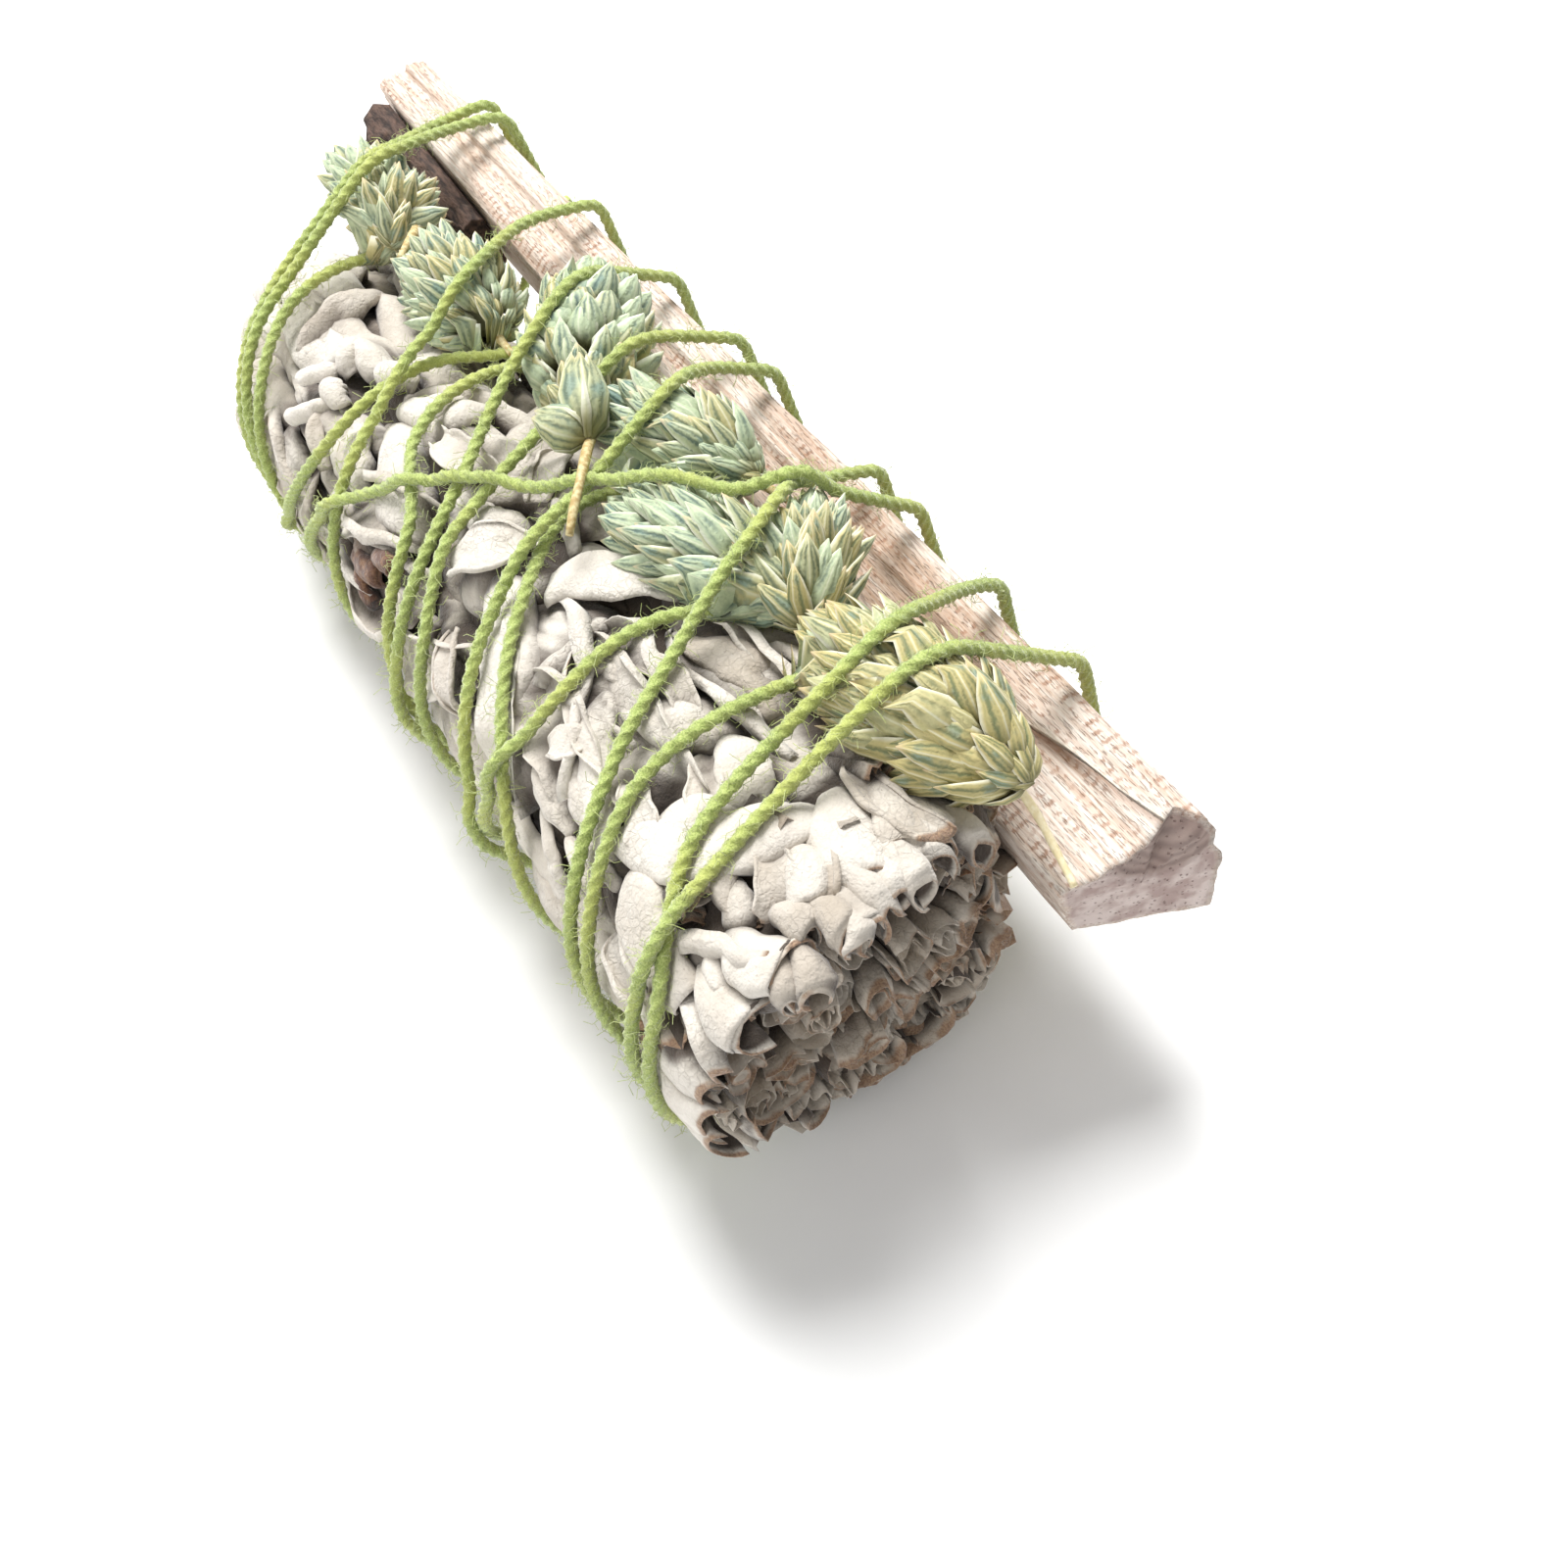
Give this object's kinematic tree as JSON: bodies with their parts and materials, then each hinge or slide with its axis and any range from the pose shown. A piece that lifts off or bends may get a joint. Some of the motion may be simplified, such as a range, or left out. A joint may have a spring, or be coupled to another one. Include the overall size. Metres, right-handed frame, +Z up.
{
  "type": "sage smudge stick",
  "caption": "Herb bundle for smudging: white sage, a split palo santo stick and dried canary grass heads, bound criss-cross with green twine.",
  "frame": {"origin": "on the surface it lies on, under the middle of the whole bundle", "axes": "+X along the bundle towards the cut stems, +Z up, +Y towards the side with the palo santo stick"},
  "size_m": [0.1352, 0.052, 0.0466],
  "materials": {
    "palo_santo_wood": "matte",
    "bark": "matte",
    "sage_leaf": "matte",
    "canary_grass": "matte",
    "twine": "matte"
  },
  "bodies": {
    "root": {"palo_santo_stick": "palo_santo_wood", "palo_santo_bark": "bark", "twine": "twine", "sage_sprig_1": "sage_leaf", "sage_sprig_2": "sage_leaf", "sage_sprig_3": "sage_leaf", "sage_sprig_4": "sage_leaf", "sage_sprig_5": "sage_leaf", "sage_sprig_6": "sage_leaf", "sage_sprig_middle": "sage_leaf", "canary_head_1": "canary_grass", "canary_head_2": "canary_grass", "canary_head_3": "canary_grass", "canary_head_4": "canary_grass", "canary_head_5": "canary_grass", "canary_head_6": "canary_grass", "canary_head_7": "canary_grass", "canary_head_8": "canary_grass"}
  },
  "joints": []
}
